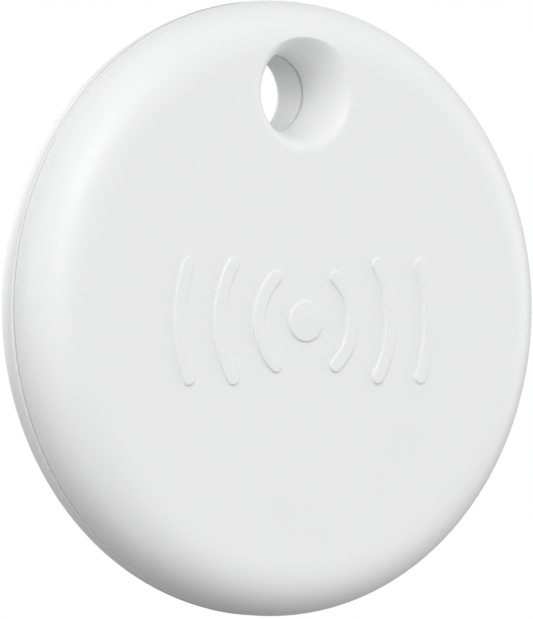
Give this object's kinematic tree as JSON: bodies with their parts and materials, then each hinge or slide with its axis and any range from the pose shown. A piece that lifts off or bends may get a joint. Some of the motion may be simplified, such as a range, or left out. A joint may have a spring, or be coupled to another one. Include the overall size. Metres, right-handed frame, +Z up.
{
  "type": "bluetooth tracker tag",
  "caption": "Round white keyring tracker tag with rounded rims, a keyring hole near its edge, a pressable front and a replaceable coin cell inside.",
  "frame": {"origin": "centre of the keyring hole, midway between the front and back faces", "axes": "+Z up towards the rim above the hole, -Y out of the front face, +X to the right seen from the front"},
  "size_m": [0.0388, 0.0076, 0.0387],
  "materials": {
    "shell": "satin moulded white",
    "seal": "soft silicone",
    "tape": "black foam tape",
    "plate": "rolled brass",
    "ceramic": "silvered ceramic",
    "board": "green solder mask",
    "cradle": "black moulded",
    "cell_steel": "nickel-plated steel",
    "cell_fill": "pressed powder",
    "cell_gasket": "moulded polypropylene",
    "contact": "gold-plated spring strip",
    "chip_black": "moulded epoxy",
    "crystal_steel": "plated lid",
    "antenna": "fired ceramic",
    "ferrite": "ferrite",
    "capacitor": "fired ceramic",
    "switch_black": "moulded nylon",
    "switch_steel": "stamped steel"
  },
  "bodies": {
    "back_case": {"back_shell": "shell", "circuit_board": "board", "battery_cradle": "cradle", "side_contact": "contact", "under_contact": "contact", "inner_pin_sleeve": "contact", "outer_pin_sleeve": "contact", "switch_base": "switch_black", "switch_dome": "switch_steel", "switch_cover": "switch_steel", "radio_chip": "chip_black", "radio_crystal": "crystal_steel", "clock_crystal": "crystal_steel", "chip_antenna": "antenna", "sounder_chip": "chip_black", "boost_coil": "ferrite", "bulk_capacitor": "capacitor"},
    "front_seals": {"seal_ring": "seal", "hole_seal_ring": "seal"},
    "front_cover": {"front_shell": "shell", "piezo_tape": "tape", "piezo_plate": "plate", "piezo_ceramic": "ceramic"},
    "battery": {"battery_can": "cell_steel", "battery_cap": "cell_steel", "battery_core": "cell_fill", "battery_gasket": "cell_gasket"},
    "inner_pin": {"inner_pin_tip": "contact"},
    "outer_pin": {"outer_pin_tip": "contact"},
    "plunger": {"switch_plunger": "switch_black"}
  },
  "joints": [
    {"name": "front_lift", "type": "slide", "parent": "back_case", "child": "front_seals", "axis": [0, -1, 0], "range_m": [0, 0.016]},
    {"name": "front_press", "type": "slide", "parent": "front_seals", "child": "front_cover", "axis": [0, 1, 0], "range_m": [0, 0.00025], "stiffness_N_per_m": 5000, "springref_m": -0.0001},
    {"name": "battery_lift", "type": "slide", "parent": "back_case", "child": "battery", "axis": [0, -1, 0], "range_m": [0, 0.008]},
    {"name": "inner_pin_slide", "type": "slide", "parent": "back_case", "child": "inner_pin", "axis": [0, 1, 0], "range_m": [0, 0.00025]},
    {"name": "outer_pin_slide", "type": "slide", "parent": "back_case", "child": "outer_pin", "axis": [0, 1, 0], "range_m": [0, 0.00025]},
    {"name": "plunger_slide", "type": "slide", "parent": "back_case", "child": "plunger", "axis": [0, 1, 0], "range_m": [0, 0.00025]}
  ],
  "couplings": [
    {"joint": "battery_lift", "follows": "front_lift", "ratio": 0.5},
    {"joint": "inner_pin_slide", "follows": "front_press", "ratio": 1},
    {"joint": "outer_pin_slide", "follows": "front_press", "ratio": 1},
    {"joint": "plunger_slide", "follows": "front_press", "ratio": 1}
  ]
}
